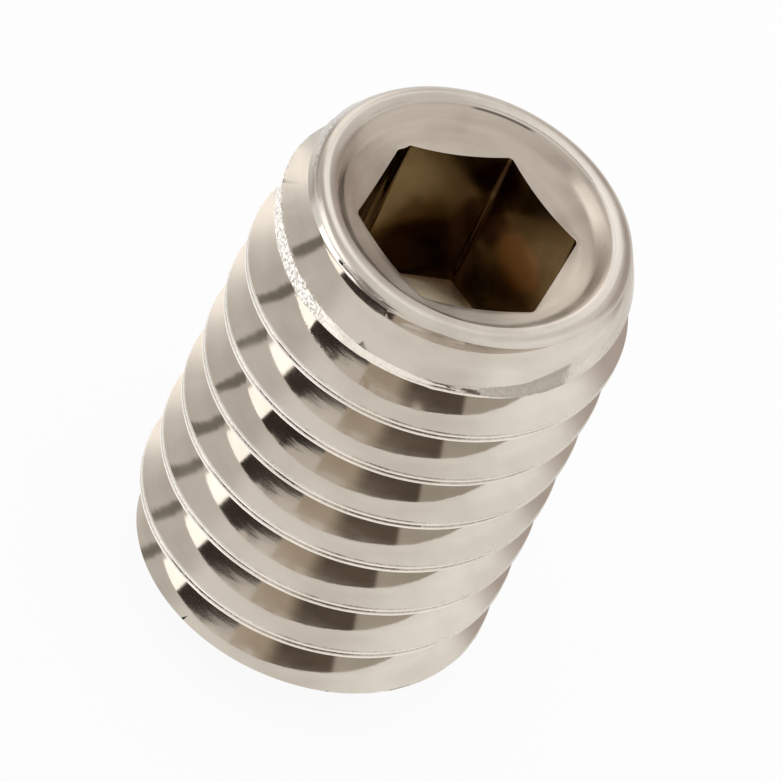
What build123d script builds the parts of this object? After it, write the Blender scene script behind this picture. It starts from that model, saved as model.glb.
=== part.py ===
from build123d import *
import math
import os

os.makedirs("parts", exist_ok=True)

# Hexagon socket set screw with flat point, M4 x 0.7, 6 mm long.
# All lengths in millimetres. Z runs up the screw from the point to the socket.

# Overall
length = 6.0  # point face to socket face
crest_diameter = 3.9  # thread crests, mid tolerance of a 4 mm thread
pitch = 0.7  # one turn of the thread, right hand

# Thread form
flank_angle = 30.0  # each flank from the plane square to the axis
crest_flat = 0.15 * pitch
root_flat = 0.17 * pitch
top_groove_depth = 0.652  # highest groove centre on the +X side, below the socket face

# Point end
point_diameter = 2.5  # flat that bears on the shaft
point_chamfer_angle = 45.0

# Socket end
face_diameter = 3.32  # outside of the flat ring round the socket
face_chamfer_angle = 65.0
dish_diameter = 2.88  # inside of the flat ring, mouth of the turned dish
dish_wall_angle = 62.0  # steep wall of the dish from the face plane
dish_wall_depth = 0.15
dish_floor_angle = 23.0  # shallow cone from the wall to the hexagon
dish_corner_radius = 0.12

# Hexagon socket
key_size = 2.0  # hexagon key across flats
key_clearance = 0.02  # broached socket over the key
socket_depth = 2.15  # straight walls, below the socket face
pilot_diameter = 1.9  # drilled hole the hexagon was broached into
pilot_point_angle = 120.0

# Sizes that follow
crest_radius = crest_diameter / 2
root_radius = crest_radius - (pitch - crest_flat - root_flat) / (2 * math.tan(math.radians(flank_angle)))
point_radius = point_diameter / 2
face_radius = face_diameter / 2
dish_radius = dish_diameter / 2
pilot_radius = pilot_diameter / 2
past = 0.2  # how far a cutting shape runs past the faces it cuts


def slope(angle):
    """Rise for each millimetre across, for an angle in degrees."""
    return math.tan(math.radians(angle))


def body():
    """The blank: a cylinder at the crests, chamfered at both ends."""
    point_chamfer = (crest_radius - point_radius) * slope(point_chamfer_angle)
    face_chamfer = (crest_radius - face_radius) * slope(face_chamfer_angle)
    outline = Polyline(
        (0, 0, 0),
        (point_radius, 0, 0),
        (crest_radius, 0, point_chamfer),
        (crest_radius, 0, length - face_chamfer),
        (face_radius, 0, length),
        (0, 0, length),
        close=True,
    )
    return revolve(make_face(outline), Axis.Z, 360)


def groove_turn(number):
    """One turn of the right-hand thread groove, counted down from above the socket face."""
    height = length - top_groove_depth + pitch - number * pitch
    outer_radius = crest_radius + 0.06 * pitch
    half_root = root_flat / 2
    half_mouth = half_root + (outer_radius - root_radius) * slope(flank_angle)

    def edge(radius, offset):
        return Helix(pitch, pitch, radius, center=(0, 0, height + offset), direction=(0, 0, 1))

    root_low = edge(root_radius, -half_root)
    root_high = edge(root_radius, half_root)
    mouth_low = edge(outer_radius, -half_mouth)
    mouth_high = edge(outer_radius, half_mouth)
    loop = [root_low, root_high, mouth_high, mouth_low]
    sides = [Face.make_surface_from_curves(a, b) for a, b in zip(loop, loop[1:] + loop[:1])]
    caps = [Face(Wire.make_polygon([rail @ end for rail in loop], close=True)) for end in (0, 1)]
    return Solid(Shell(sides + caps))


def dish():
    """The turned dish at the mouth of the socket."""
    wall_foot = dish_radius - dish_wall_depth / slope(dish_wall_angle)
    rise = past / slope(dish_wall_angle)
    apex = length - dish_wall_depth - wall_foot * slope(dish_floor_angle)
    corner = Vector(wall_foot, 0, length - dish_wall_depth)
    outline = Polyline(
        (0, 0, apex),
        corner,
        (dish_radius + rise, 0, length + past),
        (0, 0, length + past),
        close=True,
    )
    profile = make_face(outline)
    nearest = profile.vertices().sort_by_distance(corner)[0]
    profile = fillet(nearest, dish_corner_radius)
    return revolve(profile, Axis.Z, 360)


def socket():
    """The broached hexagon and the drill point at its foot."""
    floor = length - socket_depth
    corner_radius = (key_size + key_clearance) / 2 / math.cos(math.radians(30))
    hexagon = Plane.XY.offset(floor) * RegularPolygon(corner_radius, 6)
    prism = extrude(hexagon, socket_depth + past)
    drill_point = Polyline(
        (0, 0, floor - pilot_radius / slope(pilot_point_angle / 2)),
        (pilot_radius, 0, floor),
        (pilot_radius, 0, floor + past),
        (0, 0, floor + past),
        close=True,
    )
    return prism + revolve(make_face(drill_point), Axis.Z, 360)


# the groove runs out past both ends of the screw
turns = math.ceil(length / pitch) + 3
groove = [groove_turn(number) for number in range(turns)]
screw = body() - groove - dish() - socket()
screw.label = "set_screw"
export_step(screw, "parts/set_screw.step")
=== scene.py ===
import bmesh
import bpy
import math
from mathutils import Matrix, Vector, noise


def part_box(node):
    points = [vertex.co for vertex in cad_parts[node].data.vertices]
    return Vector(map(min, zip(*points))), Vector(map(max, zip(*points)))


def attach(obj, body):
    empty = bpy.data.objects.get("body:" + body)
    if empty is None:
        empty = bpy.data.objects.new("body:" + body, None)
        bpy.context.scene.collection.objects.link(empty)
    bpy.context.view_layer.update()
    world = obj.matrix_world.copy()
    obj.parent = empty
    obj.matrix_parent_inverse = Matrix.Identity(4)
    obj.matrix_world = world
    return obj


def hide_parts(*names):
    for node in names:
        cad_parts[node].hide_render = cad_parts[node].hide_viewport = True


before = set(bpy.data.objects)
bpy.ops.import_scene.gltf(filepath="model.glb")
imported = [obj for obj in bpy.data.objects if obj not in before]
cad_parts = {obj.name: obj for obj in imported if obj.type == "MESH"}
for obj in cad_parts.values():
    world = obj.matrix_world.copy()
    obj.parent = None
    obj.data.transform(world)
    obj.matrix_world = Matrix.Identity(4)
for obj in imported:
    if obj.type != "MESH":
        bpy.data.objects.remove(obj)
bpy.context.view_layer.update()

MM = 0.001
CAD_LOW, CAD_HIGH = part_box("set_screw")
THIRTY = math.radians(30)
SIXTY = math.radians(60)

# the screw in millimetres: its length and width are the CAD node's
LENGTH = (CAD_HIGH.z - CAD_LOW.z) / MM
CREST = (CAD_HIGH.x - CAD_LOW.x) / 2 / MM
POINT = 1.25
FACE = 1.662

# thread
PITCH = 0.7
TOP_GROOVE = 0.652
TURNS = range(-10, 3)
FLANK = math.tan(THIRTY)
CREST_HALF = 0.0525
ROOT_ROUND = 0.07
ROOT_STEPS = 3
CORNER_ROUND = 0.016
FLANK_HOLLOW = 0.005
FLANK_SHARES = (0.04, 0.35, 0.68, 0.94, 0.985)
SEAM_HALF = 0.018
SEAM_LIP = 0.001
SEAM_DEPTH = 0.009
ROOT_FLAT = PITCH / 2 - CREST_HALF - ROOT_ROUND * math.sin(SIXTY)
ROOT = CREST - ROOT_ROUND / 2 - ROOT_FLAT / FLANK

# socket end: one side of it is pressed in
LOW_SIDE = math.radians(182)
RIM_PRESSED = 0.05
RIM_SPREAD = 42
CREST_PRESSED = 0.11
CREST_SPREAD = 38
CHAMFER_REACH = 0.58
REACH_SWING = 0.2
REACH_PRESSED = 0.33
SHOULDER_ROUND = 0.14
SHOULDER_STEPS = 7
SHOULDER_FINISH = 0.085
RIM_FALL = 0.012
RIM_END = 0.02

# dish: its lip is points outside the dish's radius and below the rim
DISH = 1.44
DISH_DEPTH = 0.15
DISH_WALL = math.radians(52)
DISH_FLOOR = math.radians(23)
DISH_ROUND = 0.18
DISH_STEPS = 5
LIP = ((0.045, 0), (0.018, 0.007), (-0.008, 0.021), (-0.032, 0.041))

# hexagon socket
HEX_HALF = 1.01
HEX_CORNER = HEX_HALF / math.cos(THIRTY)
HEX_ROUND = 0.012
SHALLOW_CORNER = math.radians(120)
SHALLOW = 0.04
SHALLOW_SPREAD = math.radians(8)
SOCKET_DEPTH = 2.15
SOCKET_EDGE = 0.002
PILOT = 0.95
FOOT_EDGE = 0.012

# mesh: columns round the axis, with rows that follow the thread
SIDE_COLUMNS = 54
COLUMNS = 6 * SIDE_COLUMNS
END_GAP = 0.03
LEAST_ROW = 0.002
LEAST_CUT = 0.01
CUT_FREE = 0.5
CUT_PRESSED = 0.03
BASE_RADII = (0.6, 1.15)
SHARP = math.radians(35)

# wear
FAR = 1.0
WEAR_REACH = 0.06
WEAR_ENDS = 0.1
CREST_SHAKE = 0.006
WORN_DEPTH = 0.95
BURR = 0.008
BURR_ANGLE = math.radians(256)
BURR_WIDTH = math.radians(1.3)
BURR_DEPTH = 0.6


def turned_from(angle, middle):
    """How far angle lies from middle, the short way round."""
    return (angle - middle + math.pi) % math.tau - math.pi


def low_side(angle, spread):
    """1 on the side where the rim and the first crest are pressed in, falling to 0 round the screw."""
    return math.exp(-((turned_from(angle, LOW_SIDE) / math.radians(spread)) ** 2))


def half_profile():
    """(height from the groove centre, radius) from the groove's root to the middle of a crest."""
    points = []
    for step in range(ROOT_STEPS + 1):
        a = SIXTY * step / ROOT_STEPS
        points.append((ROOT_ROUND * math.sin(a), ROOT + ROOT_ROUND * (1 - math.cos(a))))
    edge = PITCH / 2 - CREST_HALF
    foot, foot_r = points[-1]
    for share in FLANK_SHARES:
        hollow = 4 * FLANK_HOLLOW * share * (1 - share)
        points.append((foot + (edge - foot) * share, foot_r + (CREST - foot_r) * share - hollow))
    points.append((edge + 0.1 * CORNER_ROUND, CREST - 0.35 * CORNER_ROUND))
    points.append((edge + 0.9 * CORNER_ROUND, CREST))
    points.append((PITCH / 2 - SEAM_HALF, CREST - SEAM_LIP))
    points.append((PITCH / 2, CREST - SEAM_DEPTH))
    return points


def thread_radius(s):
    """Radius of the thread at height s from any groove centre."""
    s = abs((s + PITCH / 2) % PITCH - PITCH / 2)
    for (s0, r0), (s1, r1) in zip(HALF, HALF[1:]):
        if s <= s1:
            return r0 + (r1 - r0) * (s - s0) / (s1 - s0)
    return HALF[-1][1]


def thread_rows():
    """Heights of the mesh rows, counted from the top groove's centre at each column."""
    marks = [s for s, _ in HALF]
    rising = {round(s, 5) for s in marks[:-1]}
    falling = {round(-s, 5) for s in marks[1:]}
    one = sorted(rising | falling | {round(PITCH / 2, 5)})
    return sorted({round(turn * PITCH + s, 5) for turn in TURNS for s in one})


def chamfer(angle):
    """The rim's outer radius, the chamfer's reach for each mm of depth, and its slope, at one angle."""
    low = low_side(angle, RIM_SPREAD)
    reach = CHAMFER_REACH + REACH_SWING * math.cos(angle - LOW_SIDE) - REACH_PRESSED * low
    return FACE - RIM_PRESSED * low, reach, math.atan2(1, reach)


def cut_rows(heights, spare, pressed):
    """Moves rows onto the edges that a chamfer cuts in the thread, so that the edges run clean."""
    for j in range(len(heights) - 1):
        low, high = heights[j], heights[j + 1]
        if high > LENGTH - CUT_FREE and pressed < CUT_PRESSED:
            continue
        below, above = spare(low), spare(high)
        crossed = below * above < 0 and max(abs(below), abs(above)) >= LEAST_CUT
        if high - low < LEAST_ROW or not crossed:
            continue
        cut = low + (high - low) * below / (below - above)
        heights[j if cut - low < high - cut and low > 0 else j + 1] = cut


def outside(angle):
    """(radius, height, distance from a crest's middle) up the outside of the screw, from the point
    face to the shoulder's round, at one angle."""
    groove = LENGTH - TOP_GROOVE + PITCH * angle / math.tau
    face, reach, slope = chamfer(angle)
    top = LENGTH - SHOULDER_ROUND * math.tan(slope / 2) * math.sin(slope)
    pressed = CREST_PRESSED * low_side(angle, CREST_SPREAD)

    def limit(z):
        """The radius that the chamfers and the pressed first crest leave at height z."""
        crest = CREST - pressed if z - groove > -PITCH else CREST
        return min(face + (LENGTH - z) * reach, POINT + z, crest)

    def spare(z):
        return limit(z) - thread_radius(z - groove)

    # no row comes within a hair of either end, so that none of the faces there is a sliver
    heights = [groove + s for s in ROWS]
    heights = [0.0 if z < END_GAP else top if z > top - END_GAP else z for z in heights]
    cut_rows(heights, spare, pressed)
    points = []
    for z in heights:
        gap = PITCH / 2 - abs((z - groove + PITCH / 2) % PITCH - PITCH / 2)
        if z - groove > -PITCH:
            gap = max(gap - pressed * FLANK, 0.0)
        points.append((min(thread_radius(z - groove), limit(z)), z, gap))
    return points


def shoulder(angle):
    """Points round the edge between the chamfer and the rim, then over the rim, which falls inwards."""
    face, _, slope = chamfer(angle)
    centre_r = face - SHOULDER_ROUND * math.tan(slope / 2)
    centre_z = LENGTH - SHOULDER_ROUND
    points = []
    for step in range(1, SHOULDER_STEPS + 1):
        a = slope * (1 - step / SHOULDER_STEPS)
        points.append((centre_r + SHOULDER_ROUND * math.sin(a), centre_z + SHOULDER_ROUND * math.cos(a)))
    points.append((centre_r * 0.7 + DISH * 0.3, LENGTH - RIM_FALL * 0.1))
    points.append((centre_r * 0.2 + DISH * 0.8 + RIM_END, LENGTH - RIM_FALL * 0.6))
    return points


def dish_profile():
    """Points down the dish, as (radius, height), from its lip to the end of the round at its wall's foot."""
    wall_foot = DISH - DISH_DEPTH / math.tan(DISH_WALL)
    reach = DISH_ROUND * math.tan((DISH_WALL - DISH_FLOOR) / 2)
    corner = Vector((wall_foot, LENGTH - DISH_DEPTH))
    up = Vector((math.cos(DISH_WALL), math.sin(DISH_WALL)))
    inward = Vector((-math.cos(DISH_FLOOR), -math.sin(DISH_FLOOR)))
    start, end = corner + up * reach, corner + inward * reach
    centre = start + Vector((-up.y, up.x)) * DISH_ROUND
    a0 = math.atan2(*(start - centre).yx)
    a1 = math.atan2(*(end - centre).yx)
    points = [(DISH + out, LENGTH - RIM_FALL - down) for out, down in LIP]
    for step in range(DISH_STEPS + 1):
        a = a0 + (a1 - a0) * step / DISH_STEPS
        points.append((centre.x + DISH_ROUND * math.cos(a), centre.y + DISH_ROUND * math.sin(a)))
    return points


def hexagon_radius(angle):
    """Radius of the socket's wall at one angle, with its corners a little rounded and one shallower."""
    off = turned_from(angle, SHALLOW_CORNER)
    corner = HEX_CORNER - HEX_ROUND - SHALLOW * math.exp(-((off / SHALLOW_SPREAD) ** 2))
    part = (angle + THIRTY) % SIXTY - THIRTY
    return min(HEX_HALF / math.cos(THIRTY - abs(part)), corner)


def inside(angle):
    """Points from the dish's lip down to the middle of the socket's foot at one angle."""
    points = list(DISH_POINTS)
    r_wall, z_wall = points[-1]
    hexagon = hexagon_radius(angle)
    fall = math.tan(DISH_FLOOR)
    for share in (0.33, 0.66, 0.97):
        r = r_wall + (hexagon - r_wall) * share
        points.append((r, z_wall - (r_wall - r) * fall))
    mouth = z_wall - (r_wall - hexagon) * fall
    foot = LENGTH - SOCKET_DEPTH
    wall = hexagon - SOCKET_EDGE
    points.append((wall, mouth - 2 * SOCKET_EDGE))
    for share in (0.04, 0.35, 0.7, 0.97):
        points.append((wall, mouth + (foot - mouth) * share))
    points.append((hexagon - FOOT_EDGE, foot))
    points.append((PILOT, foot))
    for share in (0.7, 0.4, 0.12):
        points.append((PILOT * share, foot - PILOT * (1 - share) * FLANK))
    return points


def worn(angle, z):
    """How rough a crest is: most where the first turn below the socket end is pressed in."""
    return 0.25 + (0.75 * low_side(angle, 45) if LENGTH - z < WORN_DEPTH else 0)


def rough_edge(angle, z):
    """An uneven height round a crest."""
    spot = Vector((math.cos(angle) * 9, math.sin(angle) * 9, z * 12))
    return noise.noise(spot) + 0.8 * noise.noise(spot * 3.3)


def wear_of(angle, z, gap):
    """What wear adds to the radius of a point."""
    if gap >= WEAR_REACH or not WEAR_ENDS < z < LENGTH - WEAR_ENDS:
        return 0
    burr = BURR * math.exp(-(((angle - BURR_ANGLE) / BURR_WIDTH) ** 2))
    return CREST_SHAKE * worn(angle, z) * rough_edge(angle, z) + (burr if z > LENGTH - BURR_DEPTH else 0)


HALF = half_profile()
ROWS = thread_rows()
PER_TURN = sum(1 for s in ROWS if -PITCH / 2 < s <= PITCH / 2)
DISH_POINTS = dish_profile()


def join_columns(a, b, lift):
    """Quads between two neighbouring columns, where the thread rows of b are lift rows along."""
    first = len(BASE_RADII)
    last = first + len(ROWS)
    quads = []
    for j in range(len(a) - 1):
        if first <= j < last - 1 and lift:
            continue
        quads.append((a[j], b[j], b[j + 1], a[j + 1]))
    if lift:
        for j in range(first, last - 1):
            k0, k1 = min(j + lift, last - 1), min(j + 1 + lift, last - 1)
            quads.append((a[j], b[k0], b[k1], a[j + 1]))
    return quads


def build_screw():
    """The whole screw as one mesh of columns round the axis."""
    verts, faces, columns, gaps = [], [], [], []
    for i in range(COLUMNS):
        angle = math.tau * i / COLUMNS
        path = [(r, 0.0, FAR) for r in BASE_RADII] + outside(angle)
        path += [(r, z, FAR) for r, z in shoulder(angle) + inside(angle)]
        column = []
        for r, z, gap in path:
            r += wear_of(angle, z, gap)
            column.append(len(verts))
            verts.append((r * math.cos(angle) * MM, r * math.sin(angle) * MM, z * MM))
            gaps.append(gap)
        columns.append(column)
    low, high = len(verts), len(verts) + 1
    verts.append((0, 0, 0))
    verts.append((0, 0, (LENGTH - SOCKET_DEPTH - PILOT * FLANK) * MM))
    gaps += [FAR, FAR]
    for i in range(COLUMNS):
        a, b = columns[i], columns[(i + 1) % COLUMNS]
        # the thread climbs one pitch in a turn, so the last column joins the first one pitch along
        lift = PER_TURN if i == COLUMNS - 1 else 0
        faces += join_columns(a, b, lift)
        faces.append((low, b[0], a[0]))
        faces.append((high, a[-1], b[-1]))
    mesh = bpy.data.meshes.new("set_screw_body")
    mesh.from_pydata(verts, [], faces)
    mesh.attributes.new("crest_gap", "FLOAT", "POINT").data.foreach_set("value", gaps)
    return mesh


THREAD, RIM, IN_DISH, WALL, FOOT = range(5)


def zone(face):
    """Which finish a face of the screw has. The point's flat has the rim's."""
    centre = face.calc_center_median() / MM
    r = math.hypot(centre.x, centre.y)
    if centre.z < 0.001:
        return RIM
    if centre.z < LENGTH - SHOULDER_FINISH and r > DISH or centre.z < 1:
        return THREAD
    if r > DISH + 0.03 or centre.z > LENGTH - RIM_FALL - 0.004:
        return RIM
    if centre.z < LENGTH - SOCKET_DEPTH + 0.001:
        return FOOT
    if r > HEX_CORNER + 0.01 or abs(face.normal.z) > 0.5:
        return IN_DISH
    return WALL


def finish_mesh(mesh):
    """Drops doubled points and empty faces, sets the finishes and smooths all but the sharp edges."""
    bm = bmesh.new()
    bm.from_mesh(mesh)
    bmesh.ops.remove_doubles(bm, verts=bm.verts, dist=1e-8)
    bmesh.ops.dissolve_degenerate(bm, edges=bm.edges, dist=1e-8)
    bmesh.ops.recalc_face_normals(bm, faces=bm.faces)
    for face in bm.faces:
        face.material_index = zone(face)
    bm.to_mesh(mesh)
    bm.free()
    mesh.shade_smooth()
    mesh.set_sharp_from_angle(angle=SHARP)


class Nodes:
    """Short ways to add nodes to one material or world."""

    def __init__(self, tree):
        self.tree = tree

    def add(self, kind, **settings):
        node = self.tree.nodes.new("ShaderNode" + kind)
        for name, setting in settings.items():
            setattr(node, name, setting)
        return node

    def feed(self, socket, source):
        if isinstance(source, bpy.types.NodeSocket):
            self.tree.links.new(source, socket)
        else:
            socket.default_value = source

    def math(self, kind, *sources):
        node = self.add("Math", operation=kind)
        for socket, source in zip(node.inputs, sources):
            self.feed(socket, source)
        return node.outputs[0]

    def plus(self, first, second):
        return self.math("ADD", first, second)

    def times(self, first, second):
        return self.math("MULTIPLY", first, second)

    def span(self, source, start, end, low=0.0, high=1.0):
        """Smoothly from low at start to high at end."""
        node = self.add("MapRange", interpolation_type="SMOOTHSTEP")
        for socket, setting in zip(node.inputs, (source, start, end, low, high)):
            self.feed(socket, setting)
        return node.outputs["Result"]

    def noise(self, vector, scale, detail=4):
        node = self.add("TexNoise")
        node.inputs["Detail"].default_value = detail
        node.inputs["Scale"].default_value = scale
        self.feed(node.inputs["Vector"], vector)
        return node.outputs["Fac"]

    def bump(self, height, strength, distance, normal=None):
        node = self.add("Bump")
        node.inputs["Distance"].default_value = distance * MM
        self.feed(node.inputs["Strength"], strength)
        self.feed(node.inputs["Height"], height)
        if normal:
            self.feed(node.inputs["Normal"], normal)
        return node.outputs["Normal"]

    def blend(self, share, first, second):
        node = self.add("Mix", data_type="RGBA")
        self.feed(node.inputs[0], share)
        for socket, colour in ((node.inputs[6], first), (node.inputs[7], second)):
            self.feed(socket, colour if isinstance(colour, bpy.types.NodeSocket) else (*colour, 1))
        return node.outputs[2]

    def join(self, x, y, z):
        node = self.add("CombineXYZ")
        for socket, source in zip(node.inputs, (x, y, z)):
            self.feed(socket, source)
        return node.outputs[0]


class Surface:
    """Where a point of the screw lies, as node outputs, for the things drawn on the metal."""

    def __init__(self, n):
        self.n = n
        self.place = n.add("TexCoord").outputs["Object"]
        split = n.add("SeparateXYZ")
        n.feed(split.inputs[0], self.place)
        self.x, self.y, self.z = split.outputs
        self.reach = n.math("SQRT", n.plus(n.times(self.x, self.x), n.times(self.y, self.y)))
        self.gap = n.add("Attribute", attribute_name="crest_gap").outputs["Fac"]
        self.mottle = n.noise(self.place, 1300, 5)
        self.speck = n.noise(self.place, 30000, 3)

    def toward(self, degrees):
        """1 where a point lies in that direction from the axis, falling to -1 opposite."""
        n = self.n
        a = math.radians(degrees)
        along = n.plus(n.times(self.x, math.cos(a)), n.times(self.y, math.sin(a)))
        return n.math("DIVIDE", along, self.reach)

    def wear(self):
        """How worn the metal is: only on crests, and most on the pressed side of the first one."""
        n = self.n
        on_crest = n.math("SUBTRACT", 1.0, n.span(self.gap, 0.04, 0.068))
        near_top = n.span(self.z, (LENGTH - 0.95) * MM, (LENGTH - 0.85) * MM)
        first = n.times(near_top, n.span(self.toward(176), 0.68, 0.86))
        return n.times(on_crest, n.plus(n.times(first, 0.85), 0.14))

    def streak(self):
        """Tool marks that run round the screw."""
        n = self.n
        across = n.plus(n.times(self.gap, 25.0), n.times(self.reach, 9000.0))
        return n.noise(n.join(across, n.times(self.x, 900.0), n.times(self.y, 900.0)), 1.0, 5)

    def with_painted_patch(self, tone, centre, size, shade):
        """The tone with a soft-edged patch of painted reflection over it, dark or light."""
        n = self.n
        away = n.add("VectorMath", operation="DISTANCE")
        n.feed(away.inputs[0], self.place)
        away.inputs[1].default_value = Vector(centre) * MM
        spread = n.plus(away.outputs["Value"], n.times(self.mottle, 0.3 * MM))
        return n.blend(n.span(spread, (size + 0.05) * MM, (size + 0.25) * MM, 1.0, 0.0), tone, shade)

    def lapped(self, tone):
        """The tone with a thin dark lap in the metal just inside the rim."""
        n = self.n
        off = n.math("ABSOLUTE", n.math("SUBTRACT", self.reach, 1.445 * MM))
        line = n.span(off, 0.006 * MM, 0.016 * MM, 1.0, 0.0)
        lap = n.times(n.span(self.toward(71), 0.965, 0.985), line)
        return n.blend(n.times(lap, 0.85), tone, (0.1, 0.085, 0.07))


def metal(name, colour, dark, roughness, grain, streaks, painted_reflections=()):
    """Bare steel, mottled from colour to dark, with a fine grain and tool streaks that run round it, and any
    painted reflections laid over its tone.
    """
    mat = bpy.data.materials.new(name)
    mat.use_nodes = True
    n = Nodes(mat.node_tree)
    shader = mat.node_tree.nodes["Principled BSDF"]
    shader.inputs["Metallic"].default_value = 1.0
    at = Surface(n)
    wear, streak = at.wear(), at.streak()

    mix = n.plus(n.times(at.mottle, 0.6), n.times(streak, 0.4))
    tone = n.blend(n.span(mix, 0.36, 0.64), dark, colour)
    # painted reflections: dark and light patches laid over the tone where given
    for centre, size, shade in painted_reflections:
        tone = at.with_painted_patch(tone, centre, size, shade)
    tone = at.lapped(tone)
    worn_tone = n.blend(n.span(at.speck, 0.4, 0.52), (0.4, 0.36, 0.31), (0.98, 0.96, 0.93))
    n.feed(shader.inputs["Base Color"], n.blend(n.times(wear, 0.8), tone, worn_tone))

    base_rough = n.span(at.mottle, 0.3, 0.7, roughness * 0.7, roughness * 1.35)
    n.feed(shader.inputs["Roughness"], n.plus(base_rough, n.times(wear, 0.08)))

    normal = n.bump(n.noise(at.place, 6000, 6), grain, 0.004)
    normal = n.bump(streak, streaks, 0.004, normal)
    normal = n.bump(at.speck, wear, 0.014, normal)
    n.feed(shader.inputs["Normal"], normal)
    return mat


# painted reflections on the socket's walls, three dark patches and one lighter brown patch, as centre and
# size in millimetres, and colour
SOCKET_PAINTED_REFLECTIONS = [
    ((0.2, 1.01, 4.1), 0.62, (0.14, 0.08, 0.05)),
    ((0.58, 1.0, 5.5), 0.28, (0.12, 0.065, 0.04)),
    ((0.62, 0.94, 4.9), 0.3, (0.12, 0.065, 0.04)),
    ((0.9, 0.46, 4.85), 0.32, (0.6, 0.38, 0.23)),
]
# in the order of the zones: colour, dark colour, roughness, grain, streaks
FINISHES = (
    metal("bright_steel", (0.77, 0.72, 0.66), (0.66, 0.61, 0.55), 0.065, 0.04, 0.3),
    metal("rim_steel", (0.76, 0.71, 0.65), (0.63, 0.58, 0.53), 0.21, 0.3, 0.6),
    metal("dish_steel", (0.65, 0.585, 0.515), (0.52, 0.46, 0.4), 0.36, 0.35, 0.35),
    # the socket's walls carry painted reflections, dark patches and a lighter brown one
    metal("socket_wall", (0.45, 0.355, 0.215), (0.28, 0.2, 0.12), 0.12, 0.12, 0.1, SOCKET_PAINTED_REFLECTIONS),
    metal("socket_foot", (0.5, 0.44, 0.32), (0.32, 0.26, 0.17), 0.22, 0.3, 0.3),
)

body = bpy.data.objects.new("set_screw_body", build_screw())
bpy.context.scene.collection.objects.link(body)
for finish in FINISHES:
    body.data.materials.append(finish)
finish_mesh(body.data)
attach(body, "root")
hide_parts("set_screw")

# camera: it stands off along the line of sight, and is turned, tilted and rolled as the photo was
TILT = math.radians(44.37)
TURN = math.radians(-25.9)
ROLL = math.radians(26.62)
DISTANCE = 145.0
SIDE, DROP = 0.834, -1.768
SENSOR = 36
LENS = 670.972


def aim_camera():
    """Adds the camera and makes it the scene's."""
    across = Vector((math.cos(TURN), math.sin(TURN), 0))
    away = Vector((-math.sin(TURN), math.cos(TURN), 0))
    rise = away * math.cos(TILT) + Vector((0, 0, math.sin(TILT)))
    back = -away * math.sin(TILT) + Vector((0, 0, math.cos(TILT)))
    right = across * math.cos(ROLL) + rise * math.sin(ROLL)
    up = rise * math.cos(ROLL) - across * math.sin(ROLL)
    camera = bpy.data.cameras.new("camera")
    camera.sensor_width = SENSOR
    camera.lens = LENS
    camera.clip_start = 0.001
    camera.clip_end = 10
    view = bpy.data.objects.new("camera", camera)
    place = Matrix((right, up, back)).transposed().to_4x4()
    place.translation = (Vector((0, 0, LENGTH)) - right * SIDE + up * DROP + back * DISTANCE) * MM
    view.matrix_world = place
    bpy.context.scene.collection.objects.link(view)
    bpy.context.scene.camera = view


# the studio's panels as bright metal sees them, in degrees round from the photo's side and up from
# level: left, right, low, high, softness of the edge, colour
PANELS = [
    (-175, -45, -91, -38, 6, (1.35, 1.33, 1.3)),
    (-45, 130, -91, -36, 6, (1.12, 1.09, 1.05)),
    (50, 125, -28, 62, 14, (0.95, 0.93, 0.9)),
    (125, 178, 2, 40, 8, (0.5, 0.44, 0.4)),
    (-165, -137, 2, 40, 7, (1.25, 1.2, 1.12)),
    (-180, -135, 40, 60, 5, (1.25, 1.24, 1.23)),
    (-128, -85, 12, 66, 8, (0.62, 0.58, 0.54)),
    (-114.5, -109.5, 36, 44, 1, (0.2, 0.18, 0.15)),
    (-108, -94, 26, 36, 3, (1.3, 1.27, 1.22)),
    (-60, -28, 16, 48, 4, (0.25, 0.22, 0.19)),
    (-175, 0, -34, 10, 4, (0.88, 0.88, 0.87)),
    (-142, -104, -16, 10, 5, (0.5, 0.46, 0.42)),
    (-100, -60, 8, 36, 3, (1.8, 1.77, 1.72)),
    (-88, -66, -10.5, 10, 1.5, (2.0, 2.05, 2.1)),
    (-66, -20, -12.4, 13, 0.6, (0.05, 0.042, 0.038)),
    (-20, 10, -16, 13, 1.5, (0.6, 0.54, 0.46)),
    (6, 62, -18, 9, 7, (0.15, 0.125, 0.1)),
    (45, 95, -18, 12, 1.5, (0.6, 0.58, 0.54)),
]
TENT = (0.78, 0.75, 0.71)


def directions(n):
    """The azimuth and elevation that a ray of the world leaves in, in degrees."""
    turned = n.add("VectorRotate", rotation_type="Z_AXIS")
    turned.inputs["Angle"].default_value = -TURN
    n.feed(turned.inputs["Vector"], n.add("TexCoord").outputs["Generated"])
    split = n.add("SeparateXYZ")
    n.feed(split.inputs[0], turned.outputs["Vector"])
    x, y, z = split.outputs
    azimuth = n.times(n.math("ARCTAN2", x, n.times(y, -1.0)), math.degrees(1))
    return azimuth, n.times(n.math("ARCSINE", z), math.degrees(1))


def within(n, angle, start, end, soft):
    """1 between start and end, with soft edges."""
    entered = n.span(angle, start - soft, start + soft)
    return n.times(entered, n.span(angle, end - soft, end + soft, 1.0, 0.0))


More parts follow.
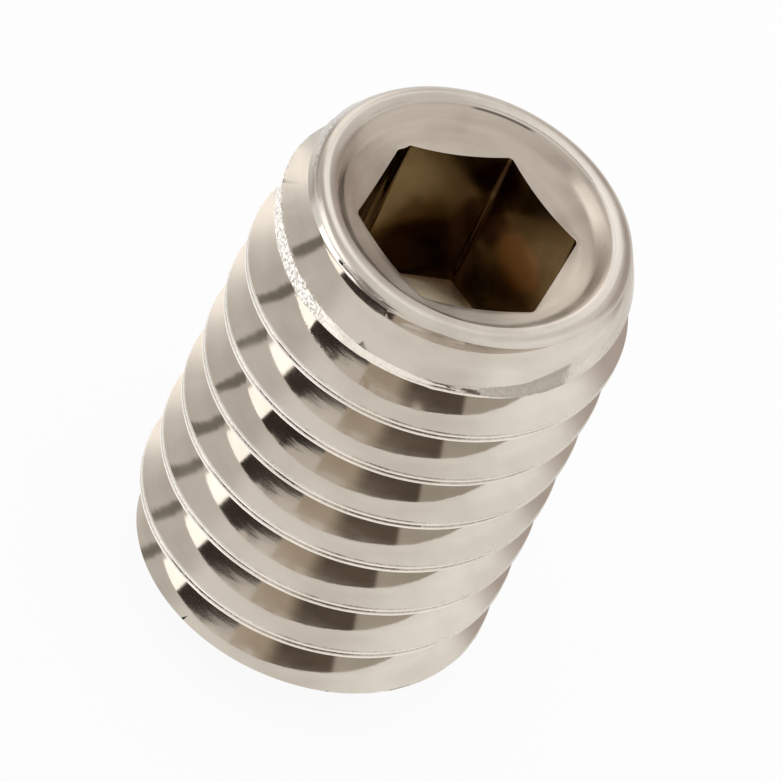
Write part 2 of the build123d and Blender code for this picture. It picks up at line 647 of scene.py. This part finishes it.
def light_studio(world):
    """Plain white light, and for glossy rays a pale tent with light and dark panels."""
    world.use_nodes = True
    world.node_tree.nodes.clear()
    n = Nodes(world.node_tree)
    azimuth, elevation = directions(n)
    colour = TENT
    for left, right, low, high, soft, shade in PANELS:
        panel = n.times(within(n, azimuth, left, right, soft), within(n, elevation, low, high, soft))
        colour = n.blend(panel, colour, shade)
    tent = n.add("Background")
    n.feed(tent.inputs["Color"], colour)
    plain = n.add("Background")
    plain.inputs["Color"].default_value = (1, 1, 1, 1)
    choice = n.add("MixShader")
    n.feed(choice.inputs["Fac"], n.add("LightPath").outputs["Is Glossy Ray"])
    n.feed(choice.inputs[1], plain.outputs[0])
    n.feed(choice.inputs[2], tent.outputs[0])
    n.feed(n.add("OutputWorld").inputs["Surface"], choice.outputs[0])


HALF_FLOOR = 0.3
FLOOR_CORNERS = [(-1, -1), (1, -1), (1, 1), (-1, 1)]
FLOOR_GLOW = 0.9


def pale_floor():
    """A matt floor that the camera sees as nearly plain white, with the screw's faint shadow."""
    pale = bpy.data.materials.new("pale_floor")
    pale.use_nodes = True
    n = Nodes(pale.node_tree)
    matt = pale.node_tree.nodes["Principled BSDF"]
    matt.inputs["Base Color"].default_value = (0.9, 0.9, 0.9, 1)
    matt.inputs["Roughness"].default_value = 1
    matt.inputs["Specular IOR Level"].default_value = 0
    glow = n.add("Emission")
    glow.inputs["Color"].default_value = (1, 1, 1, 1)
    glow.inputs["Strength"].default_value = 1
    share = n.add("MixShader")
    n.feed(share.inputs["Fac"], n.times(n.add("LightPath").outputs["Is Camera Ray"], FLOOR_GLOW))
    n.feed(share.inputs[1], matt.outputs[0])
    n.feed(share.inputs[2], glow.outputs[0])
    n.feed(pale.node_tree.nodes["Material Output"].inputs["Surface"], share.outputs[0])
    return pale


aim_camera()
scene = bpy.context.scene
scene.view_settings.view_transform = "Standard"
scene.world = bpy.data.worlds.new("studio")
light_studio(scene.world)

floor_mesh = bpy.data.meshes.new("floor")
floor_mesh.from_pydata([(x * HALF_FLOOR, y * HALF_FLOOR, 0) for x, y in FLOOR_CORNERS], [], [(0, 1, 2, 3)])
floor_mesh.materials.append(pale_floor())
floor = bpy.data.objects.new("floor", floor_mesh)
scene.collection.objects.link(floor)
floor.visible_glossy = False
